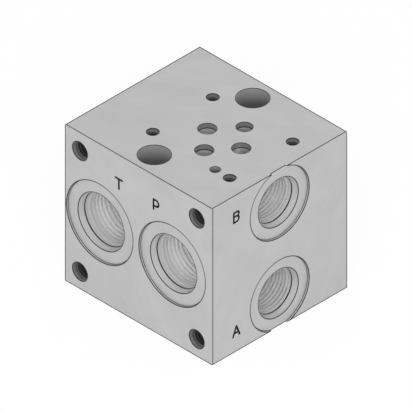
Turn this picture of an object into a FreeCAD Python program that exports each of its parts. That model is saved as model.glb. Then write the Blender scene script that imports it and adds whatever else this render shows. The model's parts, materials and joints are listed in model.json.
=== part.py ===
import FreeCAD, Part
import math
import os
from collections import namedtuple

# Manifold block for one ISO 4401-03 directional valve, in millimetres.
# The origin is the centre of the bottom face: +X to the right, +Y to the rear, +Z up.
# The valve sits on the top face, the P and T ports open in the front face (-Y),
# and the A and B ports open in the right face (+X).

# Block
BLOCK_LENGTH = 76.2
BLOCK_DEPTH = 69.85
BLOCK_HEIGHT = 69.85
EDGE_BREAK = 0.15

# Valve pattern: distances to the right of its left pair of bolt holes, centred front to back
PATTERN_FROM_LEFT = 26.1
RIGHT_BOLTS_OFFSET = 40.5
LEFT_BOLT_SPACING = 31.0
RIGHT_BOLT_SPACING = 32.5
VALVE_A_OFFSET = 12.7
VALVE_B_OFFSET = 30.2
VALVE_PT_OFFSET = 21.5
VALVE_PT_SPACING = 20.8
PIN_OFFSET = 33.0

# Holes of the valve pattern
VALVE_PORT_DIAMETER = 7.14
VALVE_TANK_DIAMETER = 6.35
PIN_DIAMETER = 4.0
PIN_DEPTH = 5.0
VALVE_BOLT_THREAD = 4.83
VALVE_BOLT_TAP_DRILL = 3.8
VALVE_BOLT_THREAD_DEPTH = 12.7
VALVE_BOLT_DRILL_DEPTH = 15.9

# Mounting holes, right through, with counterbores for socket head screws
MOUNTING_FROM_LEFT = 36.83
MOUNTING_SPACING = 50.8
MOUNTING_DIAMETER = 8.74
COUNTERBORE_DIAMETER = 12.7
COUNTERBORE_DEPTH = 9.6

# Tapped holes near the corners of the front face
CORNER_HOLE_INSET = 7.94
CORNER_THREAD = 7.94
CORNER_TAP_DRILL = 6.53
CORNER_THREAD_DEPTH = 10.2
CORNER_DRILL_DEPTH = 12.7

# Straight-thread ports with a seal taper: the P and T ports, at the middle of the block's height
FRONT_PORT_SPACING = 37.4
FRONT_PORT_THREAD = 22.225
FRONT_PORT_TAP_DRILL = 20.64
FRONT_PORT_THREAD_DEPTH = 16.7
FRONT_PORT_DRILL_DEPTH = 19.8
FRONT_PORT_SPOTFACE = 34.1
FRONT_PORT_TAPER_MOUTH = 23.93

# Straight-thread ports with a seal taper: the A and B ports
SIDE_PORT_INSET = 14.6
SIDE_PORT_THREAD = 19.05
SIDE_PORT_TAP_DRILL = 17.46
SIDE_PORT_THREAD_DEPTH = 14.3
SIDE_PORT_DRILL_DEPTH = 17.5
SIDE_PORT_SPOTFACE = 30.2
SIDE_PORT_TAPER_MOUTH = 20.65

# Shared by all four ports; depths of thread, drill and taper are from the spotface
SPOTFACE_DEPTH = 0.76
SEAL_TAPER_DEPTH = 2.54
SEAL_TAPER_ANGLE = 15.0

# Passages inside the block
P_GALLERY_DIAMETER = 19.05
T_GALLERY_DIAMETER = 15.88
SIDE_GALLERY_DIAMETER = 11.11
CROSS_DRILL_DIAMETER = 7.14
DRILL_POINT_ANGLE = 118.0
DRILL_PAST_AXIS = 1.5
GALLERY_PAST_PASSAGE = 1.2

# Expander plug that closes the cross drilling in the left face
PLUG_DIAMETER = 9.0
PLUG_LENGTH = 7.6
PLUG_BALL_DIAMETER = 6.2
PLUG_RECESS = 0.4
PLUG_BALL_RECESS = 0.6
PLUG_FLOOR = 0.7

# Engraved port letters
LETTER_HEIGHT = 4.35
WIDE_LETTER_WIDTH = 3.4
NARROW_LETTER_WIDTH = 2.65
LETTER_STROKE = 0.9
LETTER_DEPTH = 0.3
A_CROSSBAR_HEIGHT = 1.4
B_UPPER_BOWL_HEIGHT = 1.8
P_BOWL_HEIGHT = 2.7
FRONT_LETTERS_BELOW_TOP = 12.65
T_LETTER_RIGHT_OF_PORT = 9.9
P_LETTER_LEFT_OF_PORT = 8.3
SIDE_LETTERS_FROM_FRONT = 12.5
B_LETTER_ABOVE_PORT = 5.1
A_LETTER_BELOW_PORT = 5.2

# How far a cutter stands out of the face that it cuts
CUTTER_OVERRUN = 1.0

# Places that follow from the sizes above
LEFT_FACE = -BLOCK_LENGTH / 2
RIGHT_FACE = BLOCK_LENGTH / 2
FRONT_FACE = -BLOCK_DEPTH / 2
TOP_FACE = BLOCK_HEIGHT
PATTERN_X = LEFT_FACE + PATTERN_FROM_LEFT
VALVE_A_X = PATTERN_X + VALVE_A_OFFSET
VALVE_B_X = PATTERN_X + VALVE_B_OFFSET
VALVE_PT_X = PATTERN_X + VALVE_PT_OFFSET
VALVE_P_Y = -VALVE_PT_SPACING / 2
VALVE_T_Y = VALVE_PT_SPACING / 2
MOUNTING_X = LEFT_FACE + MOUNTING_FROM_LEFT
PORT_T_X = MOUNTING_X - FRONT_PORT_SPACING / 2
PORT_P_X = MOUNTING_X + FRONT_PORT_SPACING / 2
FRONT_PORT_HEIGHT = BLOCK_HEIGHT / 2
PORT_A_HEIGHT = SIDE_PORT_INSET
PORT_B_HEIGHT = TOP_FACE - SIDE_PORT_INSET

DOWN = FreeCAD.Vector(0, 0, -1)
UP = FreeCAD.Vector(0, 0, 1)
REARWARD = FreeCAD.Vector(0, 1, 0)
LEFTWARD = FreeCAD.Vector(-1, 0, 0)
RIGHTWARD = FreeCAD.Vector(1, 0, 0)

PortForm = namedtuple("PortForm", "spotface taper_mouth thread thread_depth tap_drill drill_depth")

FRONT_PORT = PortForm(
    spotface=FRONT_PORT_SPOTFACE,
    taper_mouth=FRONT_PORT_TAPER_MOUTH,
    thread=FRONT_PORT_THREAD,
    thread_depth=FRONT_PORT_THREAD_DEPTH,
    tap_drill=FRONT_PORT_TAP_DRILL,
    drill_depth=FRONT_PORT_DRILL_DEPTH,
)
SIDE_PORT = PortForm(
    spotface=SIDE_PORT_SPOTFACE,
    taper_mouth=SIDE_PORT_TAPER_MOUTH,
    thread=SIDE_PORT_THREAD,
    thread_depth=SIDE_PORT_THREAD_DEPTH,
    tap_drill=SIDE_PORT_TAP_DRILL,
    drill_depth=SIDE_PORT_DRILL_DEPTH,
)


def drill_point(diameter):
    """Length of the cone that a twist drill leaves at the bottom of its hole."""
    return diameter / 2 / math.tan(math.radians(DRILL_POINT_ANGLE / 2))


def turned(outline, mouth, inward):
    """A solid turned from (radius, depth) points, its axis running inward from the mouth."""
    points = [FreeCAD.Vector(radius, 0, depth) for radius, depth in outline]
    section = Part.Face(Part.makePolygon(points + points[:1]))
    solid = section.revolve(FreeCAD.Vector(0, 0, 0), UP, 360)
    solid.Placement = FreeCAD.Placement(mouth, FreeCAD.Rotation(UP, inward))
    return solid


def drilled_hole(mouth, inward, diameter, depth):
    """A blind hole with a drill point; the depth is that of its full diameter."""
    outline = [
        (0, -CUTTER_OVERRUN),
        (diameter / 2, -CUTTER_OVERRUN),
        (diameter / 2, depth),
        (0, depth + drill_point(diameter)),
    ]
    return turned(outline, mouth, inward)


def flat_hole(mouth, inward, diameter, depth):
    """A hole with a flat bottom."""
    outline = [
        (0, -CUTTER_OVERRUN),
        (diameter / 2, -CUTTER_OVERRUN),
        (diameter / 2, depth),
        (0, depth),
    ]
    return turned(outline, mouth, inward)


def tapped_hole(mouth, inward, thread, tap_drill, thread_depth, drill_depth):
    """A tapped hole at its thread's outer diameter, run out to the tap drill below."""
    run_out = (thread - tap_drill) / 2
    outline = [
        (0, -CUTTER_OVERRUN),
        (thread / 2, -CUTTER_OVERRUN),
        (thread / 2, thread_depth),
        (tap_drill / 2, thread_depth + run_out),
        (tap_drill / 2, drill_depth),
        (0, drill_depth + drill_point(tap_drill)),
    ]
    return turned(outline, mouth, inward)


def port(form, mouth, inward):
    """A port: spotface, seal taper, thread at its outer diameter, tap drill and drill point."""
    taper_foot = SPOTFACE_DEPTH + SEAL_TAPER_DEPTH
    taper_run = SEAL_TAPER_DEPTH * math.tan(math.radians(SEAL_TAPER_ANGLE))
    thread_foot = SPOTFACE_DEPTH + form.thread_depth
    run_out = (form.thread - form.tap_drill) / 2
    drill_foot = SPOTFACE_DEPTH + form.drill_depth
    outline = [
        (0, -CUTTER_OVERRUN),
        (form.spotface / 2, -CUTTER_OVERRUN),
        (form.spotface / 2, SPOTFACE_DEPTH),
        (form.taper_mouth / 2, SPOTFACE_DEPTH),
        (form.taper_mouth / 2 - taper_run, taper_foot),
        (form.thread / 2, taper_foot),
        (form.thread / 2, thread_foot),
        (form.tap_drill / 2, thread_foot + run_out),
        (form.tap_drill / 2, drill_foot),
        (0, drill_foot + drill_point(form.tap_drill)),
    ]
    return turned(outline, mouth, inward)


def blank():
    """The sawn and milled block with its outer edges broken."""
    corner = FreeCAD.Vector(LEFT_FACE, FRONT_FACE, 0)
    box = Part.makeBox(BLOCK_LENGTH, BLOCK_DEPTH, BLOCK_HEIGHT, corner)
    return box.makeChamfer(EDGE_BREAK, box.Edges)


def valve_bolt_holes():
    """Four tapped holes that hold the valve, in two pairs of different spacing."""
    pairs = ((PATTERN_X, LEFT_BOLT_SPACING), (PATTERN_X + RIGHT_BOLTS_OFFSET, RIGHT_BOLT_SPACING))
    holes = []
    for x, spacing in pairs:
        for y in (-spacing / 2, spacing / 2):
            holes.append(
                tapped_hole(
                    FreeCAD.Vector(x, y, TOP_FACE),
                    DOWN,
                    VALVE_BOLT_THREAD,
                    VALVE_BOLT_TAP_DRILL,
                    VALVE_BOLT_THREAD_DEPTH,
                    VALVE_BOLT_DRILL_DEPTH,
                )
            )
    return holes


def locating_pin_hole():
    """The blind hole for the valve's locating pin, in line with the front bolt hole beside it."""
    mouth = FreeCAD.Vector(PATTERN_X + PIN_OFFSET, -RIGHT_BOLT_SPACING / 2, TOP_FACE)
    return flat_hole(mouth, DOWN, PIN_DIAMETER, PIN_DEPTH)


def valve_passages():
    """The four holes under the valve, each drilled down to just past its gallery's axis."""
    passages = (
        (VALVE_PT_X, VALVE_P_Y, VALVE_PORT_DIAMETER, FRONT_PORT_HEIGHT),
        (VALVE_PT_X, VALVE_T_Y, VALVE_TANK_DIAMETER, FRONT_PORT_HEIGHT),
        (VALVE_A_X, 0, VALVE_PORT_DIAMETER, PORT_A_HEIGHT),
        (VALVE_B_X, 0, VALVE_PORT_DIAMETER, PORT_B_HEIGHT),
    )
    holes = []
    for x, y, diameter, level in passages:
        mouth = FreeCAD.Vector(x, y, TOP_FACE)
        reach = TOP_FACE - level + DRILL_PAST_AXIS
        holes.append(drilled_hole(mouth, DOWN, diameter, reach))
    return holes


def front_ports():
    """The P and T ports with their galleries, which run back past the passages they feed."""
    galleries = (
        (PORT_P_X, P_GALLERY_DIAMETER, VALVE_P_Y + VALVE_PORT_DIAMETER / 2),
        (PORT_T_X, T_GALLERY_DIAMETER, VALVE_T_Y + CROSS_DRILL_DIAMETER / 2),
    )
    cutters = []
    for x, diameter, passage_edge in galleries:
        mouth = FreeCAD.Vector(x, FRONT_FACE, FRONT_PORT_HEIGHT)
        reach = passage_edge + GALLERY_PAST_PASSAGE - FRONT_FACE
        cutters.append(port(FRONT_PORT, mouth, REARWARD))
        cutters.append(drilled_hole(mouth, REARWARD, diameter, reach))
    return cutters


def side_ports():
    """The A and B ports with their galleries, which end just past the valve's own passages."""
    cutters = []
    for height, passage_x in ((PORT_A_HEIGHT, VALVE_A_X), (PORT_B_HEIGHT, VALVE_B_X)):
        mouth = FreeCAD.Vector(RIGHT_FACE, 0, height)
        reach = RIGHT_FACE - passage_x + DRILL_PAST_AXIS
        cutters.append(port(SIDE_PORT, mouth, LEFTWARD))
        cutters.append(drilled_hole(mouth, LEFTWARD, SIDE_GALLERY_DIAMETER, reach))
    return cutters


def cross_drilling():
    """From the left face through the T gallery to the tank passage, with its plug's seat."""
    mouth = FreeCAD.Vector(LEFT_FACE, VALVE_T_Y, FRONT_PORT_HEIGHT)
    reach = VALVE_PT_X + DRILL_PAST_AXIS - LEFT_FACE
    return [
        drilled_hole(mouth, RIGHTWARD, CROSS_DRILL_DIAMETER, reach),
        flat_hole(mouth, RIGHTWARD, PLUG_DIAMETER, PLUG_RECESS + PLUG_LENGTH),
    ]


def mounting_holes():
    """Two counterbored holes right through the block."""
    outline = [
        (0, -CUTTER_OVERRUN),
        (COUNTERBORE_DIAMETER / 2, -CUTTER_OVERRUN),
        (COUNTERBORE_DIAMETER / 2, COUNTERBORE_DEPTH),
        (MOUNTING_DIAMETER / 2, COUNTERBORE_DEPTH),
        (MOUNTING_DIAMETER / 2, BLOCK_HEIGHT + CUTTER_OVERRUN),
        (0, BLOCK_HEIGHT + CUTTER_OVERRUN),
    ]
    return [
        turned(outline, FreeCAD.Vector(MOUNTING_X, y, TOP_FACE), DOWN)
        for y in (-MOUNTING_SPACING / 2, MOUNTING_SPACING / 2)
    ]


def corner_holes():
    """Four tapped holes in the front face, one by each corner."""
    return [
        tapped_hole(
            FreeCAD.Vector(x, FRONT_FACE, z),
            REARWARD,
            CORNER_THREAD,
            CORNER_TAP_DRILL,
            CORNER_THREAD_DEPTH,
            CORNER_DRILL_DEPTH,
        )
        for x in (LEFT_FACE + CORNER_HOLE_INSET, RIGHT_FACE - CORNER_HOLE_INSET)
        for z in (CORNER_HOLE_INSET, TOP_FACE - CORNER_HOLE_INSET)
    ]


def line(x1, y1, x2, y2):
    """A straight stroke of a letter, in the letter's own plane."""
    return Part.makeLine(FreeCAD.Vector(x1, y1, 0), FreeCAD.Vector(x2, y2, 0))


def bowl(left, right, foot, head):
    """The strokes of a letter's round bowl, open to its stem on the left."""
    radius = (head - foot) / 2
    curve = Part.Arc(
        FreeCAD.Vector(right - radius, head, 0),
        FreeCAD.Vector(right, foot + radius, 0),
        FreeCAD.Vector(right - radius, foot, 0),
    )
    return [
        line(left, head, right - radius, head),
        curve.toShape(),
        line(right - radius, foot, left, foot),
    ]


def letter_strokes(letter):
    """The centre lines of one letter's strokes, the letter centred on its origin."""
    right = (WIDE_LETTER_WIDTH if letter in "AT" else NARROW_LETTER_WIDTH) / 2
    left = -right
    head = LETTER_HEIGHT / 2
    foot = -head
    if letter == "T":
        return [line(left, head, right, head), line(0, head, 0, foot)]
    if letter == "A":
        crossbar = foot + A_CROSSBAR_HEIGHT
        lean = right * A_CROSSBAR_HEIGHT / LETTER_HEIGHT
        return [
            line(left, foot, 0, head),
            line(0, head, right, foot),
            line(left + lean, crossbar, right - lean, crossbar),
        ]
    stem = line(left, foot, left, head)
    if letter == "P":
        return [stem] + bowl(left, right, head - P_BOWL_HEIGHT, head)
    waist = head - B_UPPER_BOWL_HEIGHT
    return [stem] + bowl(left, right, waist, head) + bowl(left, right, foot, waist)


def groove(stroke):
    """The groove of a flat-ended round cutter that follows one stroke, open above the face."""
    height = LETTER_DEPTH + CUTTER_OVERRUN
    floor = FreeCAD.Vector(0, 0, -LETTER_DEPTH)
    start, end = (vertex.Point + floor for vertex in stroke.Vertexes)
    side = UP.cross(stroke.tangentAt(stroke.FirstParameter)) * (LETTER_STROKE / 2)
    corners = [start - side, start + side, start + side + UP * height, start - side + UP * height]
    profile = Part.makePolygon(corners + corners[:1])
    track = Part.Wire([stroke]).makePipeShell([profile], True, False)
    ends = [Part.makeCylinder(LETTER_STROKE / 2, height, point, UP) for point in (start, end)]
    return track.fuse(ends)


def engraved(letter, centre, reading, outward):
    """The grooves of a letter on a face, read along the reading direction with +Z up."""
    strokes = [groove(stroke) for stroke in letter_strokes(letter)]
    cutter = strokes[0].fuse(strokes[1:]).removeSplitter()
    cutter.Placement = FreeCAD.Placement(centre, FreeCAD.Rotation(reading, UP, outward))
    return cutter


def port_letters():
    """The letters beside the ports."""
    front_height = TOP_FACE - FRONT_LETTERS_BELOW_TOP
    side_y = FRONT_FACE + SIDE_LETTERS_FROM_FRONT
    t_centre = FreeCAD.Vector(PORT_T_X + T_LETTER_RIGHT_OF_PORT, FRONT_FACE, front_height)
    p_centre = FreeCAD.Vector(PORT_P_X - P_LETTER_LEFT_OF_PORT, FRONT_FACE, front_height)
    a_centre = FreeCAD.Vector(RIGHT_FACE, side_y, PORT_A_HEIGHT - A_LETTER_BELOW_PORT)
    b_centre = FreeCAD.Vector(RIGHT_FACE, side_y, PORT_B_HEIGHT + B_LETTER_ABOVE_PORT)
    return [
        engraved("T", t_centre, RIGHTWARD, -REARWARD),
        engraved("P", p_centre, RIGHTWARD, -REARWARD),
        engraved("A", a_centre, REARWARD, RIGHTWARD),
        engraved("B", b_centre, REARWARD, RIGHTWARD),
    ]


def manifold_block():
    """The block with all its holes and letters."""
    cutters = (
        valve_bolt_holes()
        + [locating_pin_hole()]
        + valve_passages()
        + front_ports()
        + side_ports()
        + cross_drilling()
        + mounting_holes()
        + corner_holes()
        + port_letters()
    )
    block = blank()
    for cutter in cutters:
        block = block.cut(cutter)
    return block


def cross_drill_plug_sleeve():
    """The plug's cup, a press fit in its seat with its open end just under the left face."""
    outline = [
        (PLUG_BALL_DIAMETER / 2, 0),
        (PLUG_DIAMETER / 2, 0),
        (PLUG_DIAMETER / 2, PLUG_LENGTH),
        (0, PLUG_LENGTH),
        (0, PLUG_LENGTH - PLUG_FLOOR),
        (PLUG_BALL_DIAMETER / 2, PLUG_LENGTH - PLUG_FLOOR),
    ]
    rim = FreeCAD.Vector(LEFT_FACE + PLUG_RECESS, VALVE_T_Y, FRONT_PORT_HEIGHT)
    return turned(outline, rim, RIGHTWARD)


def cross_drill_plug_ball():
    """The ball that was pressed into the cup and spread it against its seat."""
    centre_x = LEFT_FACE + PLUG_RECESS + PLUG_BALL_RECESS + PLUG_BALL_DIAMETER / 2
    centre = FreeCAD.Vector(centre_x, VALVE_T_Y, FRONT_PORT_HEIGHT)
    return Part.makeSphere(PLUG_BALL_DIAMETER / 2, centre)


NODES = {
    "manifold_block": manifold_block,
    "cross_drill_plug_sleeve": cross_drill_plug_sleeve,
    "cross_drill_plug_ball": cross_drill_plug_ball,
}

os.makedirs("parts", exist_ok=True)
for name, build in NODES.items():
    build().exportStep("parts/" + name + ".step")
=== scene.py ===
import functools
import json
import math

import bmesh
import bpy
from mathutils import Matrix, Vector


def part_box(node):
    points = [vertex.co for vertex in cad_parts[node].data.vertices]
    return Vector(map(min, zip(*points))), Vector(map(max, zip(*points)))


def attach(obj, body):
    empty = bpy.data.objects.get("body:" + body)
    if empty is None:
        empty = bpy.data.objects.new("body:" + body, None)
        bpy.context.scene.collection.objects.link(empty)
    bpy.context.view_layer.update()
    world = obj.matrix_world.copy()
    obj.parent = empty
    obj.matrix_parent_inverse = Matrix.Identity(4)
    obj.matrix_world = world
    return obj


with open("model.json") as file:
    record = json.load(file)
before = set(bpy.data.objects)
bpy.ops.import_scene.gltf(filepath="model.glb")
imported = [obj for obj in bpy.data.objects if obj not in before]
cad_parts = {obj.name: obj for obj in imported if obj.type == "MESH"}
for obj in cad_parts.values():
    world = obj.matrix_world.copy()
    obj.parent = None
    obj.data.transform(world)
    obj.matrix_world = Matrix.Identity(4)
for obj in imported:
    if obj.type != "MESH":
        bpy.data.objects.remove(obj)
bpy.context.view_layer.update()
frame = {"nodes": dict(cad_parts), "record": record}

bl_info = {
    "name": "Valve manifold block",
    "version": (1, 0, 0),
    "blender": (4, 5, 0),
    "location": "3D View > Sidebar > Manifold",
    "description": "Threads, machined finishes and a plain studio for a one-valve manifold block",
    "category": "Object",
}

MM = 0.001
INCH = 0.0254
BODY = "root"
MOUNTS = {mount["name"]: mount for mount in frame["record"]["mounts"]}
LOW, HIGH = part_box("manifold_block")
MIDDLE_MM = [(low + high) / 2 / MM for low, high in zip(LOW, HIGH)]
HALF_MM = [(high - low) / 2 / MM for low, high in zip(LOW, HIGH)]

# Where the painted light and shade change with depth, as the middle and the width of the change:
# in millimetres for the ports, and in the hole's own radii for the other holes.
THREAD_RISE = (8.4, 10.2)
HOLE_FALL = (0.7, 1.4)
CORNER_FALL = (0.4, 0.8)

# Small distances in millimetres, which serve as margins and as the widths of the masks' soft
# edges: on a face, on a wall, and four others from sharp to soft.
ON_FACE = 0.06
ON_WALL = 0.05
CRISP = 0.02
THIN = 0.03
BLUR = 0.04
SOFT = 0.1

# How far the painted shade lines reach, in millimetres: in from a port's mouth, in and up from a
# spotface's corner, up and down from a seal taper's foot, and to both sides of the foot of the
# darkened band at a fluid hole's mouth.
LIP_LINE = 0.12
CORNER_LINE = (0.18, 0.14)
SEAL_LINE = (0.1, 0.38)
BAND_FOOT_LINE = 0.22

# The deepest point that counts as a letter, and half the width of the field that holds T and P.
LETTER_FLOOR = 0.4
FRONT_LETTERS = 15.0

# The middle of the cutter's arcs on the left and right, the front and rear, and the top and
# bottom faces, in millimetres along each face.
ARC_CENTRES = ((150.0, -60.0), (-140.0, -80.0), (-120.0, 160.0))

# The scale of each kind of mark in the metals, in noise cells per millimetre.
FINE_TRACKS = 1.9
BROAD_TRACKS = 0.22
TURNED_TRACKS = 2.6
TRACK_DRIFT = 0.012
GRAIN = 6.0
SMUDGES = 0.07
DRAG_MARKS = 1.8
PLATE_RINGS = 4.0
PLATE_BLOOM = 0.5
BALL_SCUFFS = 1.2

# How much darker and lighter a finish's marks make its colour.
METAL_SPREAD = 0.22
DETAIL_SPREAD = 0.2
THREAD_SPREAD = 0.15
LETTER_SHADE_SPREAD = 0.3

# How deep the marks are, in metres: in milled and plated metal, and in tapped and ground metal.
COARSE_RELIEF = 0.02 * MM
FINE_RELIEF = 0.01 * MM

# A thread's flank angle from the middle of its ridge, its foot as a share of the pitch, the angle
# up to which its faces are smoothed, how near to a cutting plane and to each other points are
# taken as one, in metres, and the steps in one turn.
HALF_ANGLE = math.radians(30)
FOOT_SHARE = 7 / 8
SMOOTH_ANGLE = math.radians(35)
ON_PLANE = 1e-7
WELD = 0.0005 * MM
PORT_STEPS = 72
CORNER_STEPS = 48
BOLT_STEPS = 40

# The studio: the floor's side and its gap under the block, in metres, the middle and the width of
# the change from horizon to zenith, and plain white.
FLOOR_SIDE = 8
FLOOR_GAP = 0.05 * MM
SKY_RISE = (0.45, 1.1)
WHITE = (1, 1, 1, 1)


def place_of(name):
    """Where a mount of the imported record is, in metres."""
    return Vector(MOUNTS[name]["pos_m"])


def mount_mm(name):
    """Where a mount is, in millimetres."""
    return tuple(place_of(name) / MM)


def radius_of(name):
    """The radius of a mount's hole, in metres."""
    sizes = MOUNTS[name]["dims"]
    return sizes.get("r_mm", sizes.get("hole_r_mm")) * MM


def radius_mm(name):
    return radius_of(name) / MM


def spacing_mm(name, side):
    """The spacing of a mount's hole pattern along its own x or y."""
    return MOUNTS[name]["dims"][f"spacing_{side}_mm"]


def length(name, default, description):
    return bpy.props.FloatProperty(
        name=name, description=description, default=default, min=0.0, precision=5, unit="LENGTH"
    )


def share(name, default, description):
    return bpy.props.FloatProperty(
        name=name, description=description, default=default, min=0.0, max=1.0, subtype="FACTOR"
    )


def colour(name, default, description):
    return bpy.props.FloatVectorProperty(
        name=name,
        description=description,
        default=default,
        size=3,
        min=0.0,
        max=1.0,
        subtype="COLOR",
    )


def grey(name, level, description):
    return colour(name, (level, level, level), description)


def strength(name, default, description):
    return bpy.props.FloatProperty(name=name, description=description, default=default, min=0.0)


class ThreadSizes(bpy.types.PropertyGroup):
    front_pitch: length("Front port pitch", INCH / 14, "Pitch of the P and T port threads")
    side_pitch: length("Side port pitch", INCH / 16, "Pitch of the A and B port threads")
    corner_pitch: length("Corner hole pitch", INCH / 18, "Pitch of the front face's tapped holes")
    bolt_pitch: length("Valve bolt pitch", INCH / 24, "Pitch of the tapped holes under the valve")
    front_ridge: length("Front port ridge", 0.79 * MM, "Height of the P and T port threads")
    side_ridge: length("Side port ridge", 0.79 * MM, "Height of the A and B port threads")
    corner_ridge: length("Corner hole ridge", 0.70 * MM, "Height of the corner hole threads")
    bolt_ridge: length("Valve bolt ridge", 0.51 * MM, "Height of the valve bolt threads")
    corner_depth: length("Corner hole thread", 10.2 * MM, "Depth of thread in the corner holes")
    bolt_depth: length("Valve bolt thread", 12.7 * MM, "Depth of thread in the valve bolt holes")
    lead_in: length("Lead-in", 0.5 * MM, "Plain wall above the first turn of a thread")
    bite: length("Bite", 0.06 * MM, "How far a ridge's foot reaches into the wall that carries it")


class FinishSettings(bpy.types.PropertyGroup):
    alloy: grey("Alloy", 0.50, "Colour of the milled aluminium")
    # Painted shade: the broken edges are a little darker than the alloy to damp the lamp's light on
    # them.
    broken_edge: grey("Broken edge", 0.46, "Colour of the broken outer edges")
    # Painted shade: the dark lines along the edges, round the holes and in the corners.
    line: grey("Edge line", 0.03, "Colour of the painted lines along edges and round holes")
    # Painted light: the spotface walls are lighter than the alloy to lift their shade.
    step: grey("Spotface wall", 0.72, "Colour of the low walls round the spotfaces")
    # Painted light and shade in the ports: the first thread turns darker, the bores lighter deeper
    # in, and the A and B ports dimmer than P and T.
    seal: grey("Seal taper", 0.50, "Colour of the tapers in the port mouths")
    thread_start: grey("Thread start", 0.44, "Colour of the first turns of the port threads")
    front_bore: grey("Front bore", 0.81, "Colour of the P and T ports' walls and threads")
    side_bore: grey("Side bore", 0.71, "Colour of the A and B ports' walls and threads")
    # Painted shade and light in the fluid holes: a darker band at each mouth, then walls far
    # lighter than the alloy that dim deeper down.
    reamed: grey("Darkened seat", 0.38, "Colour of the reamed mouths of the fluid holes")
    drilled: grey("Drilled wall", 1.0, "Colour of the fluid holes just below their mouths")
    drilled_deep: grey("Dimmer drilling", 0.72, "Colour of the fluid holes deeper down")
    # Painted light and shade: the B hole is light below its mouth and dims deeper down against the
    # light it gets through port B.
    b_wall: grey("B hole wall", 0.92, "Colour of the valve's B hole just below its mouth")
    b_deep: grey("Dimmer B hole", 0.45, "Colour of the valve's B hole deeper down")
    # Painted shade in the small tapped holes: darker than the alloy at the mouth, darker still
    # deeper down.
    tapped: grey("Tapped hole", 0.24, "Colour of the small tapped holes at their mouths")
    tapped_deep: grey("Dimmer thread", 0.08, "Colour of the shading deeper in the small tapped holes")
    # Painted light and shade in the counterbores and pin hole: lighter than the alloy at the mouth,
    # darker deeper down.
    plain: grey("Plain bore", 0.62, "Colour of the counterbores and pin hole at their mouths")
    plain_deep: grey("Dimmer bore", 0.28, "Colour of the shading deeper in the plain bores")
    # Painted shade: near-black in the engraved letters' floors and walls.
    ink: grey("Letter floor", 0.012, "Colour of the shadowed port letters")
    sleeve: colour("Plug sleeve", (0.42, 0.40, 0.34), "Colour of the zinc-plated plug sleeve")
    ball: colour("Plug ball", (0.50, 0.50, 0.52), "Colour of the ground plug ball")
    roughness: share("Roughness", 0.48, "Roughness of the milled faces")
    metal: share("Metal", 0.65, "Share of bare metal against the film of oxide that scatters light")
    bore_metal: share("Bore metal", 0.2, "Share of bare metal in the ports, under a thicker film")
    tool_marks: share("Tool marks", 0.5, "How clearly the cutter's tracks show")


class HoleSizes(bpy.types.PropertyGroup):
    front_spotface: length("Front spotface", 17.05 * MM, "Radius of the P and T ports' spotfaces")
    front_mouth: length("Front mouth", 11.965 * MM, "Radius of the mouths of the P and T ports")
    side_spotface: length("Side spotface", 15.1 * MM, "Radius of the A and B ports' spotfaces")
    side_mouth: length("Side mouth", 10.325 * MM, "Radius of the mouths of the A and B ports")
    spotface_depth: length("Spotface depth", 0.76 * MM, "Depth of the spotfaces")
    seal_depth: length("Seal depth", 3.3 * MM, "Depth of the seal tapers' feet below the face")
    counterbore: length("Counterbore", 6.35 * MM, "Radius of the mounting holes' counterbores")
    fluid_hole: length("Fluid hole", 3.57 * MM, "Radius of the P, A and B holes under the valve")
    tank_hole: length("Tank hole", 3.175 * MM, "Radius of the T hole under the valve")
    pressure_offset: length("Pressure offset", 21.5 * MM, "From the left bolts to P and T")
    pressure_spacing: length("Pressure spacing", 20.8 * MM, "Between the P and T holes")
    work_offset: length("Work offset", 21.45 * MM, "From the left bolts to midway between A and B")
    work_spacing: length("Work spacing", 17.5 * MM, "Between the A and B holes")
    # The depth of the painted dark band at each fluid hole's mouth.
    reamed_depth: length("Darkened depth", 2.2 * MM, "Depth of the reamed mouths of the fluid holes")
    # The widths and the depth of the painted shade lines round holes, spotfaces and mouths and
    # along edges.
    rim: length("Rim", 0.16 * MM, "Width of the dark line round each small hole")
    spotface_rim: length("Spotface rim", 0.36 * MM, "Width of the dark line round each spotface")
    mouth_rim: length("Mouth rim", 0.26 * MM, "Width of the dark line round each port mouth")
    rim_depth: length("Rim depth", 0.2 * MM, "Depth of the dark line inside each hole")
    side_line: length("Side line", 0.40 * MM, "Width of the dark line along the sides' edges")
    top_line: length("Top line", 0.42 * MM, "Width of the dark line along the top face's edges")
    edge_break: length("Edge break", 0.15 * MM, "Size of the chamfer on the outer edges")
    letters_below_top: length("Front letters", 12.65 * MM, "Top face to the middle of T and P")
    side_letters: length("Side letters", 12.5 * MM, "From the front face to the middle of A and B")
    b_letter_below_top: length("B letter", 9.5 * MM, "From the top face to the middle of B")
    a_letter_above_base: length("A letter", 9.4 * MM, "From the bottom face to the middle of A")
    letter_reach: length("Letter reach", 3.3 * MM, "Half the size of the field round a letter")


class StudioSettings(bpy.types.PropertyGroup):
    azimuth: bpy.props.FloatProperty(
        name="Azimuth", description="Turn of the camera round the block",
        default=math.radians(45), subtype="ANGLE"
    )
    elevation: bpy.props.FloatProperty(
        name="Elevation", description="Height of the camera above the horizon",
        default=math.atan(math.sqrt(0.5)), subtype="ANGLE"
    )
    view_width: length("View width", 150.45 * MM, "Width of the camera's parallel view")
    camera_distance: length("Camera distance", 0.6, "From the camera to the block's middle")
    floor_colour: colour("Floor", (0.93, 0.93, 0.93), "Colour of the plain floor")
    floor_glow: share("Floor glow", 0.92, "Share of plain white in the floor as the camera sees it")
    horizon: strength("Horizon", 0.62, "Brightness of the surroundings at the horizon")
    zenith: strength("Zenith", 0.78, "Brightness of the surroundings overhead")
    lamp_power: strength("Lamp power", 20.4, "Power of the soft lamp behind the camera, in watts")
    lamp_width: length("Lamp width", 0.9, "Width of the soft lamp behind the camera")
    lamp_distance: length("Lamp distance", 1.8, "From the soft lamp to the block's middle")


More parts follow.
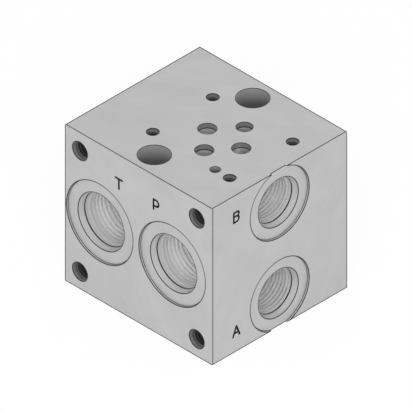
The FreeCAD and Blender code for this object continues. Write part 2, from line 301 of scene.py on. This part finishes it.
class Flow:
    """A shader socket that takes part in Python sums by adding Math nodes."""

    def __init__(self, tree, socket):
        self.tree = tree
        self.socket = socket

    def math(self, operation, *others):
        values = dict(enumerate((self, *others)))
        return self.tree.add("ShaderNodeMath", {"operation": operation}, values)

    def __add__(self, other):
        return self.math("ADD", other)

    def __sub__(self, other):
        return self.math("SUBTRACT", other)

    def __rsub__(self, other):
        return self.tree.add("ShaderNodeMath", {"operation": "SUBTRACT"}, {0: other, 1: self})

    def __mul__(self, other):
        return self.math("MULTIPLY", other)

    def __abs__(self):
        return self.math("ABSOLUTE")

    __radd__ = __add__

    def least(self, other):
        return self.math("MINIMUM", other)

    def most(self, other):
        return self.math("MAXIMUM", other)

    def above(self, limit, blur):
        """0 below the limit and 1 above it, with a soft step as wide as the blur."""
        return self.tree.add(
            "ShaderNodeMapRange",
            {"interpolation_type": "SMOOTHSTEP"},
            {"Value": self, "From Min": limit - blur / 2, "From Max": limit + blur / 2},
        )

    def below(self, limit, blur):
        return 1 - self.above(limit, blur)

    def between(self, low, high, blur=BLUR):
        """1 from the low limit to the high one, with soft ends."""
        return self.above(low, blur) * self.below(high, blur)


class Tree:
    """A node tree to which nodes are added by type, settings and sockets."""

    def __init__(self, holder):
        holder.use_nodes = True
        self.nodes = holder.node_tree.nodes
        self.links = holder.node_tree.links
        self.nodes.clear()

    def add(self, kind, settings=None, sockets=None, output=0):
        """Adds a node, sets it up, fills its sockets with values or links, and gives one output."""
        node = self.nodes.new(kind)
        for name, value in (settings or {}).items():
            setattr(node, name, value)
        for name, value in (sockets or {}).items():
            if isinstance(value, Flow):
                self.links.new(value.socket, node.inputs[name])
            else:
                node.inputs[name].default_value = value
        return Flow(self, node.outputs[output]) if len(node.outputs) else None

    def vector(self, operation, first, second, output=0):
        sockets = {0: first, 1: second}
        return self.add("ShaderNodeVectorMath", {"operation": operation}, sockets, output)

    def blend(self, factor, first, second):
        """Goes from the first colour to the second as the factor goes from 0 to 1."""
        sockets = {0: factor, 6: first, 7: second}
        return self.add("ShaderNodeMix", {"data_type": "RGBA"}, sockets, 2)

    def noise(self, place, scale, detail):
        """Noise between 0 and 1, evened out about a half."""
        sockets = {"Vector": place, "Scale": scale, "Detail": detail}
        return self.add("ShaderNodeTexNoise", None, sockets, "Fac")


def rgba(rgb):
    return (*rgb, 1.0)


def object_place(tree):
    """The point being shaded, in millimetres in the block's own frame."""
    coords = tree.add("ShaderNodeTexCoord", None, None, "Object")
    return tree.vector("MULTIPLY", coords, (1 / MM,) * 3)


def split(tree, place):
    """The place's three numbers."""
    node = tree.add("ShaderNodeSeparateXYZ", None, {0: place}).socket.node
    return [Flow(tree, output) for output in node.outputs]


def join(tree, x, y, z):
    return tree.add("ShaderNodeCombineXYZ", None, {0: x, 1: y, 2: z})


def face_depths(tree, place):
    """How far below the top, front and right faces a point is, in millimetres."""
    x, y, z = split(tree, place)
    return {"top": HIGH[2] / MM - z, "front": y - LOW[1] / MM, "right": HIGH[0] / MM - x}


def around(tree, across, up, centre):
    """Distance in millimetres from a hole's axis, seen along that axis."""
    return tree.vector("DISTANCE", join(tree, across, up, 0.0), (*centre, 0.0), "Value")


def any_of(masks):
    """The highest of several masks."""
    return functools.reduce(Flow.most, masks)


def on_face(depth):
    """1 where a point lies on a face, from its depth below that face."""
    return depth.below(ON_FACE, ON_FACE)


def within(distance, radius):
    """1 inside a hole and on its wall, from the distance to its axis."""
    return distance.below(radius + ON_WALL, CRISP)


def finish_material(material, tree, base, roughness, height, relief, metal):
    """Closes a metal's tree: shader, relief in metres and output."""
    bump = tree.add(
        "ShaderNodeBump", None, {"Strength": 1.0, "Distance": relief, "Height": height}, "Normal"
    )
    shader = tree.add(
        "ShaderNodeBsdfPrincipled",
        None,
        {"Base Color": base, "Roughness": roughness, "Metallic": metal, "Normal": bump},
    )
    tree.add("ShaderNodeOutputMaterial", None, {"Surface": shader})
    return material


def shades(tree, factor, rgb, spread):
    """A colour that goes from darker to lighter by the spread as the factor goes from 0 to 1."""
    dark = rgba([c * (1 - spread) for c in rgb])
    light = rgba([min(1.0, c * (1 + spread)) for c in rgb])
    return tree.blend(factor, dark, light)


class BlockPlaces:
    """Masks and distances, in millimetres, that say where on the block a point is."""

    def __init__(self, tree, sizes):
        self.tree = tree
        self.mm = {name: getattr(sizes, name) / MM for name in sizes.__annotations__}
        self.place = object_place(tree)
        self.x, self.y, self.z = split(tree, self.place)
        self.depth = face_depths(tree, self.place)
        self.to_sides = [
            half - abs(flow - middle)
            for flow, middle, half in zip((self.x, self.y, self.z), MIDDLE_MM, HALF_MM)
        ]
        a, b, c = self.to_sides
        self.outer_faces = on_face(a.least(b).least(c))
        self.inside = 1 - self.outer_faces
        self.left_bolts = mount_mm("valve_bolts_left")[0]
        self.bolts = self.valve_bolts()
        self.corners = [self.corner_holes()]
        self.plain = self.plain_bores()
        self.fluid = self.fluid_holes()
        self.ports = self.port_rings()

    def valve_bolts(self):
        """The top face's tapped holes: for each kind, distance from its axis, radius and depth."""
        names = ("valve_bolts_left", "valve_bolts_right")
        centres = [(mount_mm(name)[0], spacing_mm(name, "y") / 2) for name in names]
        return [
            (around(self.tree, self.x, abs(self.y), centre), radius_mm(name), self.depth["top"])
            for name, centre in zip(names, centres)
        ]

    def corner_holes(self):
        """The front face's tapped holes."""
        middle = mount_mm("front_tapped_holes")
        corner = [spacing_mm("front_tapped_holes", side) / 2 for side in "xy"]
        distance = around(self.tree, abs(self.x - middle[0]), abs(self.z - middle[2]), corner)
        return distance, radius_mm("front_tapped_holes"), self.depth["front"]

    def plain_bores(self):
        """The counterbores and the pin hole."""
        centre = (mount_mm("mounting_holes")[0], spacing_mm("mounting_holes", "y") / 2)
        counterbores = around(self.tree, self.x, abs(self.y), centre)
        pin = around(self.tree, self.x, self.y, mount_mm("locating_pin_hole")[:2])
        return [
            (counterbores, self.mm["counterbore"], self.depth["top"]),
            (pin, radius_mm("locating_pin_hole"), self.depth["top"]),
        ]

    def fluid_holes(self):
        """The four holes that open under the valve."""
        pressure = self.left_bolts + self.mm["pressure_offset"]
        half = self.mm["pressure_spacing"] / 2
        beside = abs(self.x - (self.left_bolts + self.mm["work_offset"]))
        work = (self.mm["work_spacing"] / 2, 0.0)
        distances = (
            (around(self.tree, self.x, self.y, (pressure, -half)), self.mm["fluid_hole"]),
            (around(self.tree, self.x, self.y, (pressure, half)), self.mm["tank_hole"]),
            (around(self.tree, beside, self.y, work), self.mm["fluid_hole"]),
        )
        return [(distance, radius, self.depth["top"]) for distance, radius in distances]

    def side_b(self):
        """1 on the part of the block where the valve's B hole is the only fluid hole, for its own
        painted shade.
        """
        between_a_and_b = self.left_bolts + self.mm["work_offset"]
        return self.x.above(between_a_and_b + self.mm["work_spacing"] / 4, SOFT)

    def port_rings(self):
        """The front and side ports: distance from their axes, depth, spotface and mouth radius."""
        t, p, a, b = [mount_mm(name) for name in ("port_t", "port_p", "port_a", "port_b")]
        between = (t[0] + p[0]) / 2
        level = (a[2] + b[2]) / 2
        front = around(self.tree, abs(self.x - between), self.z, (p[0] - between, p[2]))
        side = around(self.tree, self.y, abs(self.z - level), (b[1], b[2] - level))
        return (
            (front, self.depth["front"], self.mm["front_spotface"], self.mm["front_mouth"]),
            (side, self.depth["right"], self.mm["side_spotface"], self.mm["side_mouth"]),
        )

    def chamfers(self):
        """The broken outer edges, which lie near two sides."""
        a, b, c = self.to_sides
        second = a.least(b).most(a.most(b).least(c))
        return second.below(self.mm["edge_break"] + CRISP, THIN) * second.above(ON_WALL, ON_WALL)

    def edge_lines(self):
        """A thin painted shade line beside each outer edge, on one or both faces that meet there.
        """
        a, b, _ = self.to_sides
        left = self.x - LOW[0] / MM
        base = self.z - LOW[2] / MM
        edge = self.mm["edge_break"]
        thin = edge + self.mm["side_line"]
        wide = edge + self.mm["top_line"]
        return any_of([
            on_face(self.depth["top"]) * a.least(b).between(edge, wide),
            on_face(a) * b.least(base).between(edge, thin),
            on_face(b) * left.least(base).between(edge, thin),
        ])

    def run_out_lines(self):
        """The painted shade lines where the side spotfaces run out over the top and bottom faces.
        """
        floor = self.mm["spotface_depth"]
        drop = HIGH[2] / MM - mount_mm("port_b")[2]
        reach = math.sqrt(self.mm["side_spotface"] ** 2 - drop ** 2)
        top = on_face(self.depth["top"])
        top = top * self.depth["right"].between(floor, floor + self.mm["top_line"])
        base = (self.z - LOW[2] / MM).below(self.mm["side_line"], BLUR)
        base = base * self.depth["right"].between(floor - SOFT, floor + SOFT)
        return top.most(base) * abs(self.y).below(reach, BLUR)

    def lines(self):
        """Painted shade: thin dark lines by the outer edges, round holes and at the tapers' and
        bands' feet.
        """
        rim = self.mm["rim"]
        inward = self.mm["rim_depth"]
        floor = self.mm["spotface_depth"]
        foot = self.mm["seal_depth"]
        found = [self.edge_lines(), self.run_out_lines()]
        for distance, radius, depth in self.bolts + self.corners + self.plain + self.fluid:
            ring = distance.between(radius - ON_FACE, radius + rim)
            found.append(ring * depth.below(inward, ON_FACE))
        for distance, depth, spotface, mouth in self.ports:
            rise = distance.between(spotface - ON_FACE, spotface + self.mm["spotface_rim"])
            corner = distance.between(spotface - CORNER_LINE[0], spotface + ON_FACE)
            lip = distance.between(mouth - LIP_LINE, mouth + self.mm["mouth_rim"])
            seal = depth.between(foot - SEAL_LINE[0], foot + SEAL_LINE[1])
            found.append(rise * depth.below(inward, ON_FACE))
            found.append(corner * depth.between(floor - CORNER_LINE[1], floor + SOFT))
            found.append(lip * depth.between(floor - SOFT, floor + inward))
            found.append(distance.below(mouth, CRISP) * seal)
        seat = any_of([within(distance, radius) for distance, radius, _ in self.fluid])
        band_foot = self.mm["reamed_depth"]
        band_foot_line = self.depth["top"].between(band_foot - BAND_FOOT_LINE, band_foot + BAND_FOOT_LINE)
        found.append(seat * band_foot_line * self.inside)
        return any_of(found)

    def walls(self, holes, fall):
        """The walls of some holes, and a fall from 0 at their mouths to 1 well inside, for their
        painted light and shade.
        """
        middle, width = fall
        masks = [within(distance, radius) * self.inside for distance, radius, _ in holes]
        falls = [
            mask * depth.above(middle * radius, width * radius)
            for mask, (_, radius, depth) in zip(masks, holes)
        ]
        return any_of(masks), any_of(falls)

    def steps(self):
        """The low walls round the spotfaces, which get painted light."""
        return any_of([
            distance.between(spotface - ON_FACE, spotface + ON_FACE) * self.inside
            for distance, _, spotface, _ in self.ports
        ])

    def bores(self):
        """For each kind of port, its walls and a rise from 0 at the seal to 1 deep inside, where
        painted light grows.
        """
        floor = self.mm["spotface_depth"] + ON_WALL
        return [
            (
                distance.below(mouth + CRISP, CRISP) * depth.above(floor, ON_WALL) * self.inside,
                depth.above(*THREAD_RISE),
            )
            for distance, depth, _, mouth in self.ports
        ]

    def turned_rings(self):
        """Distance along the turned surfaces of the ports, and 0 elsewhere."""
        return any_of([
            (distance + depth) * within(distance, spotface) * self.inside
            for distance, depth, spotface, _ in self.ports
        ])

    def letters(self):
        """The floors and walls of the engraved port letters, which get painted shade."""
        reach = self.mm["letter_reach"]
        deep = [self.depth[face].between(BLUR, LETTER_FLOOR) for face in ("front", "right")]
        front = abs(self.depth["top"] - self.mm["letters_below_top"]).below(reach, SOFT)
        front = front * abs(self.x - mount_mm("mounting_holes")[0]).below(FRONT_LETTERS, SOFT)
        low = abs(self.z - self.mm["a_letter_above_base"]).below(reach, SOFT)
        high = abs(self.depth["top"] - self.mm["b_letter_below_top"]).below(reach, SOFT)
        along = abs(self.depth["front"] - self.mm["side_letters"]).below(reach, SOFT)
        return (deep[0] * front).most(deep[1] * (low.most(high) * along))

    def cutter_arcs(self):
        """On each outer face, the distance from the middle of the face mill's wide arcs."""
        planes = ((self.y, self.z), (self.x, self.z), (self.x, self.y))
        arcs = [
            around(self.tree, *plane, centre) * to_side.below(THIN, BLUR)
            for plane, centre, to_side in zip(planes, ARC_CENTRES, self.to_sides)
        ]
        return arcs[0] + arcs[1] + arcs[2]


def milled_aluminium(finish, sizes):
    """Satin milled aluminium: cutter arcs, turned rings, dark rims and letters of painted shade,
    and painted light and shade in holes.
    """
    material = bpy.data.materials.new("milled_aluminium")
    tree = Tree(material)
    on = BlockPlaces(tree, sizes)
    faces = on.outer_faces
    arcs = on.cutter_arcs()
    drift = (on.x + on.y + on.z) * TRACK_DRIFT
    fine = tree.noise(join(tree, arcs * FINE_TRACKS, drift, 0.0), 1.0, 3.0)
    broad = tree.noise(join(tree, arcs * BROAD_TRACKS, drift, 5.0), 1.0, 1.0)
    rings = tree.noise(join(tree, on.turned_rings() * TURNED_TRACKS, 0.0, 9.0), 1.0, 2.0)
    tracks = (fine * 0.6 + broad * 0.4) * faces + rings * (1 - faces)
    grain = tree.noise(on.place, GRAIN, 2.0)
    smudge = tree.noise(on.place, SMUDGES, 3.0)
    marks = finish.tool_marks
    tone = (tracks - 0.5) * (0.9 * marks) + (smudge - 0.5) * 0.5 + (grain - 0.5) * 0.3 + 0.5

    def shaded(rgb, spread=DETAIL_SPREAD):
        return shades(tree, tone, rgb, spread)

    def graded(rise, first, last):
        return tree.blend(rise, shaded(first), shaded(last))

    bores = on.bores()
    tapped = [on.walls(on.bolts, HOLE_FALL), on.walls(on.corners, CORNER_FALL)]
    plain, plain_fall = on.walls(on.plain, HOLE_FALL)
    fluid, fluid_fall = on.walls(on.fluid, HOLE_FALL)
    # Painted shade: the darkened band at the mouth of each fluid hole.
    seats = fluid * on.depth["top"].below(on.mm["reamed_depth"], CRISP)
    metal = shaded(finish.alloy, METAL_SPREAD)
    # Painted shade on the broken edges.
    metal = tree.blend(on.chamfers(), metal, shaded(finish.broken_edge))
    # Painted light on the spotface walls.
    metal = tree.blend(on.steps(), metal, shaded(finish.step))
    # Painted light: the port walls grow lighter from the seal inward.
    for (walls, rise), deep in zip(bores, (finish.front_bore, finish.side_bore)):
        metal = tree.blend(walls, metal, graded(rise, finish.seal, deep))
    # Painted light in the fluid holes, dimmer deeper down.
    metal = tree.blend(fluid, metal, graded(fluid_fall, finish.drilled, finish.drilled_deep))
    # Painted shade: the B hole dims deeper down against the light it gets through port B.
    metal = tree.blend(fluid * on.side_b(), metal, graded(fluid_fall, finish.b_wall, finish.b_deep))
    # Painted shade in the band at each fluid hole's mouth.
    metal = tree.blend(seats, metal, shaded(finish.reamed))
    # Painted shade in the small tapped holes, darker deeper down.
    for walls, fall in tapped:
        metal = tree.blend(walls, metal, graded(fall, finish.tapped, finish.tapped_deep))
    # Painted light and shade in the counterbores and pin hole, darker deeper down.
    metal = tree.blend(plain, metal, graded(plain_fall, finish.plain, finish.plain_deep))
    # Painted shade: thin dark lines along the edges, round the holes and in the corners.
    metal = tree.blend(on.lines(), metal, shaded(finish.line))
    # Painted shade: near-black in the engraved letters.
    metal = tree.blend(on.letters(), metal, shaded(finish.ink, LETTER_SHADE_SPREAD))
    roughness = finish.roughness + (tracks - 0.5) * (0.3 * marks) + (smudge - 0.5) * 0.12
    relief = tracks * marks + grain * 0.2
    bare = finish.metal - any_of([walls for walls, _ in bores]) * (finish.metal - finish.bore_metal)
    return finish_material(material, tree, metal, roughness, relief, COARSE_RELIEF, bare)


def tapped_aluminium(name, face, grade, first, last, bare):
    """The same alloy as a tap leaves it, with fine drag marks, and painted light and shade graded
    with depth below a face.
    """
    material = bpy.data.materials.new(name)
    tree = Tree(material)
    place = object_place(tree)
    drag = tree.noise(place, DRAG_MARKS, 3.0)
    rise = face_depths(tree, place)[face].above(*grade)
    start, end = [shades(tree, drag, rgb, THREAD_SPREAD) for rgb in (first, last)]
    metal = tree.blend(rise, start, end)
    return finish_material(material, tree, metal, 0.5 + drag * 0.2, drag, FINE_RELIEF, bare)


def thread_with_painted_shade(name, face, bore, fall, finish):
    """The thread of a small tapped hole, with painted shade that darkens it with depth."""
    grade = [radii * bore / MM for radii in fall]
    return tapped_aluminium(name, face, grade, finish.tapped, finish.tapped_deep, finish.metal)


def plated_sleeve(finish, centre):
    """Zinc plate over a turned rim: rings round the plug's axis and a faint yellow cast."""
    material = bpy.data.materials.new("zinc_plated_sleeve")
    tree = Tree(material)
    place = object_place(tree)
    _, across, up = split(tree, place)
    turned = around(tree, across, up, centre) * PLATE_RINGS
    rings = tree.noise(join(tree, turned, 0.0, 0.0), 1.0, 2.0)
    bloom = tree.noise(place, PLATE_BLOOM, 3.0)
    plate = shades(tree, rings * 0.6 + bloom * 0.4, finish.sleeve, METAL_SPREAD)
    return finish_material(material, tree, plate, 0.28 + rings * 0.25, rings, COARSE_RELIEF, 1.0)


def ground_ball(finish):
    """A ground steel ball with the bruises of the punch that drove it in."""
    material = bpy.data.materials.new("ground_ball")
    tree = Tree(material)
    place = object_place(tree)
    scuff = tree.noise(place, BALL_SCUFFS, 4.0)
    steel = shades(tree, scuff, finish.ball, METAL_SPREAD)
    return finish_material(material, tree, steel, 0.14 + scuff * 0.25, scuff, FINE_RELIEF, 1.0)


def countersink(piece, bore, ridge, pitch, run, steps):
    """Cuts a coil away to nothing at its mouth, as a countersink does over the first pitch."""
    past = 0.2 * MM
    slope = ridge / pitch
    bpy.ops.object.select_all(action="DESELECT")
    bpy.ops.mesh.primitive_cone_add(
        vertices=2 * steps,
        radius1=bore - ridge - slope * past,
        radius2=bore + slope * past,
        depth=pitch + 2 * past,
        location=(0, 0, (run - pitch) / 2),
    )
    cutter = bpy.context.active_object
    cut = piece.modifiers.new("countersink", "BOOLEAN")
    cut.operation = "DIFFERENCE"
    cut.solver = "EXACT"
    cut.object = cutter
    bpy.ops.object.select_all(action="DESELECT")
    piece.select_set(True)
    bpy.context.view_layer.objects.active = piece
    bpy.ops.object.modifier_apply(modifier=cut.name)
    bpy.data.objects.remove(cutter)


def coil(name, bore, ridge, pitch, run, bite, steps):
    """A closed right-hand helical ridge round +Z, countersunk at its mouth, cut square inside."""
    foot = pitch * FOOT_SHARE
    crest = foot - 2 * ridge * math.tan(HALF_ANGLE)
    start = Vector((bore + (bite - ridge) / 2, 0, -run / 2 - pitch))
    bpy.ops.object.select_all(action="DESELECT")
    bpy.ops.mesh.primitive_plane_add(
        size=1, location=start, rotation=(math.pi / 2, 0, 0), enter_editmode=True
    )
    bpy.ops.transform.resize(value=(ridge + bite, 1, foot), center_override=start)
    piece = bpy.context.active_object
    section = bmesh.from_edit_mesh(piece.data)
    for vert in section.verts:
        vert.select_set(vert.co.x < 0)
    section.select_flush(True)
    bpy.ops.transform.resize(value=(1, 1, crest / foot), center_override=start)
    bpy.ops.object.mode_set(mode="OBJECT")
    bpy.ops.object.transform_apply(location=True, rotation=True, scale=True)
    helix = piece.modifiers.new("helix", "SCREW")
    helix.screw_offset = pitch
    helix.iterations = math.ceil(run / pitch) + 2
    helix.steps = helix.render_steps = steps
    bpy.ops.object.modifier_apply(modifier=helix.name)
    bpy.ops.object.mode_set(mode="EDIT")
    for end, outward in ((run / 2, (0, 0, 1)), (-run / 2, (0, 0, -1))):
        bpy.ops.mesh.select_all(action="SELECT")
        bpy.ops.mesh.bisect(
            plane_co=(0, 0, end),
            plane_no=outward,
            use_fill=True,
            clear_outer=True,
            threshold=ON_PLANE,
        )
    bpy.ops.mesh.select_all(action="SELECT")
    bpy.ops.mesh.normals_make_consistent(inside=False)
    bpy.ops.object.mode_set(mode="OBJECT")
    countersink(piece, bore, ridge, pitch, run, steps)
    bpy.ops.object.mode_set(mode="EDIT")
    bpy.ops.mesh.select_all(action="SELECT")
    bpy.ops.mesh.remove_doubles(threshold=WELD)
    bpy.ops.mesh.normals_make_consistent(inside=False)
    bpy.ops.object.mode_set(mode="OBJECT")
    bpy.ops.object.shade_smooth_by_angle(angle=SMOOTH_ANGLE)
    piece.name = piece.data.name = name
    return piece


def seated_copies(model, seats, material):
    """A copy of the model in each seat: name, middle of its run and outward axis."""
    for name, middle, outward in seats:
        bpy.ops.object.select_all(action="DESELECT")
        model.select_set(True)
        bpy.context.view_layer.objects.active = model
        bpy.ops.object.duplicate()
        piece = bpy.context.active_object
        turn = Vector(outward).to_track_quat("Z", "Y").to_matrix().to_4x4()
        piece.matrix_world = Matrix.Translation(middle) @ turn
        bpy.ops.object.transform_apply(location=True, rotation=True, scale=True)
        piece.name = piece.data.name = name
        piece.data.materials.clear()
        piece.data.materials.append(material)
        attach(piece, BODY)
    bpy.data.objects.remove(model)


def pattern_seats(prefix, mounts, run, lead_in):
    """Seats for the threads of the tapped holes in one or more bolt patterns."""
    seats = []
    for mount in mounts:
        sizes = MOUNTS[mount]["dims"]
        outward = Vector(MOUNTS[mount]["axis"])
        across, up = [i for i in range(3) if abs(outward[i]) < 0.5]
        wide = sizes.get("spacing_x_mm", 0.0) * MM / 2
        tall = sizes.get("spacing_y_mm", 0.0) * MM / 2
        for side in (-1, 1) if wide else (0,):
            for end in (-1, 1):
                middle = place_of(mount) - outward * (lead_in + run / 2)
                middle[across] += side * wide
                middle[up] += end * tall
                seats.append((f"{prefix}_{len(seats) + 1}", middle, outward))
    return seats


class MANIFOLD_OT_port_threads(bpy.types.Operator):
    """Cut the threads of the four ports"""

    bl_idname = "manifold.port_threads"
    bl_label = "Port threads"

    def execute(self, context):
        sizes = context.scene.manifold_threads
        finish = context.scene.manifold_finish
        first, bare = finish.thread_start, finish.bore_metal
        front = (sizes.front_ridge, sizes.front_pitch, finish.front_bore)
        side = (sizes.side_ridge, sizes.side_pitch, finish.side_bore)
        kinds = ((("port_p", "port_t"), "front", front), (("port_a", "port_b"), "right", side))
        for ports, face, (ridge, pitch, deep) in kinds:
            name = face + "_port_thread"
            # Painted shade on the first turns and painted light deeper in the port threads.
            material = tapped_aluminium(name, face, THREAD_RISE, first, deep, bare)
            run = MOUNTS[ports[0]]["dims"]["length_mm"] * MM - sizes.lead_in
            bore = radius_of(ports[0])
            model = coil("port_thread", bore, ridge, pitch, run, sizes.bite, PORT_STEPS)
            seats = []
            for port in ports:
                outward = Vector(MOUNTS[port]["axis"])
                middle = place_of(port) - outward * (sizes.lead_in / 2)
                seats.append((port + "_thread", middle, outward))
            seated_copies(model, seats, material)
        return {"FINISHED"}


class MANIFOLD_OT_corner_threads(bpy.types.Operator):
    """Cut the threads of the four tapped holes in the front face"""

    bl_idname = "manifold.corner_threads"
    bl_label = "Corner hole threads"

    def execute(self, context):
        sizes = context.scene.manifold_threads
        run = sizes.corner_depth - sizes.lead_in
        bore = radius_of("front_tapped_holes")
        finish = context.scene.manifold_finish
        material = thread_with_painted_shade("corner_thread_aluminium", "front", bore, CORNER_FALL, finish)
        ridge, pitch = sizes.corner_ridge, sizes.corner_pitch
        model = coil("corner_thread", bore, ridge, pitch, run, sizes.bite, CORNER_STEPS)
        seats = pattern_seats("corner_thread", ["front_tapped_holes"], run, sizes.lead_in)
        seated_copies(model, seats, material)
        return {"FINISHED"}


class MANIFOLD_OT_bolt_threads(bpy.types.Operator):
    """Cut the threads of the four valve bolt holes in the top face"""

    bl_idname = "manifold.bolt_threads"
    bl_label = "Valve bolt threads"

    def execute(self, context):
        sizes = context.scene.manifold_threads
        run = sizes.bolt_depth - sizes.lead_in
        bore = radius_of("valve_bolts_left")
        finish = context.scene.manifold_finish
        material = thread_with_painted_shade("valve_bolt_thread_aluminium", "top", bore, HOLE_FALL, finish)
        ridge, pitch = sizes.bolt_ridge, sizes.bolt_pitch
        model = coil("valve_bolt_thread", bore, ridge, pitch, run, sizes.bite, BOLT_STEPS)
        mounts = ["valve_bolts_left", "valve_bolts_right"]
        seats = pattern_seats("valve_bolt_thread", mounts, run, sizes.lead_in)
        seated_copies(model, seats, material)
        return {"FINISHED"}


class MANIFOLD_OT_block_finish(bpy.types.Operator):
    """Give the block its milled aluminium finish"""

    bl_idname = "manifold.block_finish"
    bl_label = "Block finish"

    def execute(self, context):
        material = milled_aluminium(context.scene.manifold_finish, context.scene.manifold_holes)
        frame["nodes"]["manifold_block"].material_slots[0].material = material
        return {"FINISHED"}


class MANIFOLD_OT_plug_finish(bpy.types.Operator):
    """Give the cross drilling's plug its plated sleeve and ground ball"""

    bl_idname = "manifold.plug_finish"
    bl_label = "Plug finish"

    def execute(self, context):
        finish = context.scene.manifold_finish
        low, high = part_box("cross_drill_plug_ball")
        axis = [(a + b) / 2 / MM for a, b in zip(low, high)][1:]
        sleeve = plated_sleeve(finish, axis)
        frame["nodes"]["cross_drill_plug_sleeve"].material_slots[0].material = sleeve
        frame["nodes"]["cross_drill_plug_ball"].material_slots[0].material = ground_ball(finish)
        return {"FINISHED"}


def seen_directly(tree):
    """1 for rays from the camera and for those that mirror or pass through to it."""
    path = tree.add("ShaderNodeLightPath").socket.node
    kinds = ("Is Camera Ray", "Is Glossy Ray", "Is Transmission Ray")
    return any_of([Flow(tree, path.outputs[kind]) for kind in kinds])


def floor_material(studio):
    """A pale matt floor that keeps the block's shadow and can't be seen from below."""
    material = bpy.data.materials.new("studio_floor")
    tree = Tree(material)
    matt = tree.add("ShaderNodeBsdfDiffuse", None, {"Color": rgba(studio.floor_colour)})
    glow = tree.add("ShaderNodeEmission", None, {"Color": WHITE, "Strength": 1.0})
    glowing = seen_directly(tree) * studio.floor_glow
    lit = tree.add("ShaderNodeMixShader", None, {0: glowing, 1: matt, 2: glow})
    clear = tree.add("ShaderNodeBsdfTransparent")
    below = tree.add("ShaderNodeNewGeometry", None, None, "Backfacing")
    surface = tree.add("ShaderNodeMixShader", None, {0: below, 1: lit, 2: clear})
    tree.add("ShaderNodeOutputMaterial", None, {"Surface": surface})
    return material


def studio_world(studio):
    """Plain white surroundings, dimmer where they only light the block."""
    world = bpy.data.worlds.new("studio")
    bpy.context.scene.world = world
    tree = Tree(world)
    direction = tree.add("ShaderNodeTexCoord", None, None, "Generated")
    height = split(tree, direction)[2]
    level = height.above(*SKY_RISE) * (studio.zenith - studio.horizon) + studio.horizon
    dim = tree.add("ShaderNodeBackground", None, {"Color": WHITE, "Strength": level})
    white = tree.add("ShaderNodeBackground", None, {"Color": WHITE, "Strength": 1.0})
    surface = tree.add("ShaderNodeMixShader", None, {0: seen_directly(tree), 1: dim, 2: white})
    tree.add("ShaderNodeOutputWorld", None, {"Surface": surface})


def soft_lamp(name, place, width, power, target):
    """A square area lamp that faces the target and leaves no reflection of itself."""
    bpy.ops.object.light_add(type="AREA", location=place)
    lamp = bpy.context.active_object
    lamp.name = name
    lamp.visible_glossy = False
    lamp.data.size = width
    lamp.data.energy = power
    lamp.rotation_mode = "QUATERNION"
    lamp.rotation_quaternion = (Vector(place) - target).to_track_quat("Z", "Y")


def towards_viewer(studio):
    """The direction from the block to the camera."""
    flat = math.cos(studio.elevation)
    return Vector((
        math.sin(studio.azimuth) * flat,
        -math.cos(studio.azimuth) * flat,
        math.sin(studio.elevation),
    ))


def add_camera(studio, target):
    """A camera with a parallel view of the block's front right corner from above."""
    back = towards_viewer(studio)
    bpy.ops.object.camera_add(location=target + back * studio.camera_distance)
    camera = bpy.context.active_object
    camera.rotation_mode = "QUATERNION"
    camera.rotation_quaternion = back.to_track_quat("Z", "Y")
    camera.data.type = "ORTHO"
    camera.data.ortho_scale = studio.view_width
    bpy.context.scene.camera = camera


class MANIFOLD_OT_stage(bpy.types.Operator):
    """Set up the floor, the surroundings, the lamp and the camera"""

    bl_idname = "manifold.stage"
    bl_label = "Studio"

    def execute(self, context):
        studio = context.scene.manifold_studio
        target = (LOW + HIGH) / 2
        bpy.ops.object.select_all(action="DESELECT")
        bpy.ops.mesh.primitive_plane_add(size=FLOOR_SIDE, location=(0, 0, LOW[2] - FLOOR_GAP))
        floor = bpy.context.active_object
        floor.name = "floor"
        floor.data.materials.append(floor_material(studio))
        studio_world(studio)
        place = target + towards_viewer(studio) * studio.lamp_distance
        soft_lamp("lamp_behind_camera", place, studio.lamp_width, studio.lamp_power, target)
        add_camera(studio, target)
        context.scene.view_settings.view_transform = "Standard"
        return {"FINISHED"}


class MANIFOLD_PT_panel(bpy.types.Panel):
    bl_idname = "MANIFOLD_PT_panel"
    bl_label = "Manifold block"
    bl_space_type = "VIEW_3D"
    bl_region_type = "UI"
    bl_category = "Manifold"

    def draw(self, context):
        for operator in OPERATORS:
            self.layout.operator(operator.bl_idname)
        for settings in SETTINGS:
            group = getattr(context.scene, settings)
            box = self.layout.box()
            for name in group.__annotations__:
                box.prop(group, name)


SETTINGS = {
    "manifold_threads": ThreadSizes,
    "manifold_holes": HoleSizes,
    "manifold_finish": FinishSettings,
    "manifold_studio": StudioSettings,
}
OPERATORS = (
    MANIFOLD_OT_port_threads,
    MANIFOLD_OT_corner_threads,
    MANIFOLD_OT_bolt_threads,
    MANIFOLD_OT_block_finish,
    MANIFOLD_OT_plug_finish,
    MANIFOLD_OT_stage,
)


def register():
    for name, group in SETTINGS.items():
        bpy.utils.register_class(group)
        setattr(bpy.types.Scene, name, bpy.props.PointerProperty(type=group))
    for operator in OPERATORS:
        bpy.utils.register_class(operator)
    bpy.utils.register_class(MANIFOLD_PT_panel)


def unregister():
    bpy.utils.unregister_class(MANIFOLD_PT_panel)
    for operator in reversed(OPERATORS):
        bpy.utils.unregister_class(operator)
    for name, group in reversed(SETTINGS.items()):
        delattr(bpy.types.Scene, name)
        bpy.utils.unregister_class(group)


def main():
    register()
    bpy.ops.manifold.port_threads()
    bpy.ops.manifold.corner_threads()
    bpy.ops.manifold.bolt_threads()
    bpy.ops.manifold.block_finish()
    bpy.ops.manifold.plug_finish()
    bpy.ops.manifold.stage()


if __name__ == "__main__":
    main()
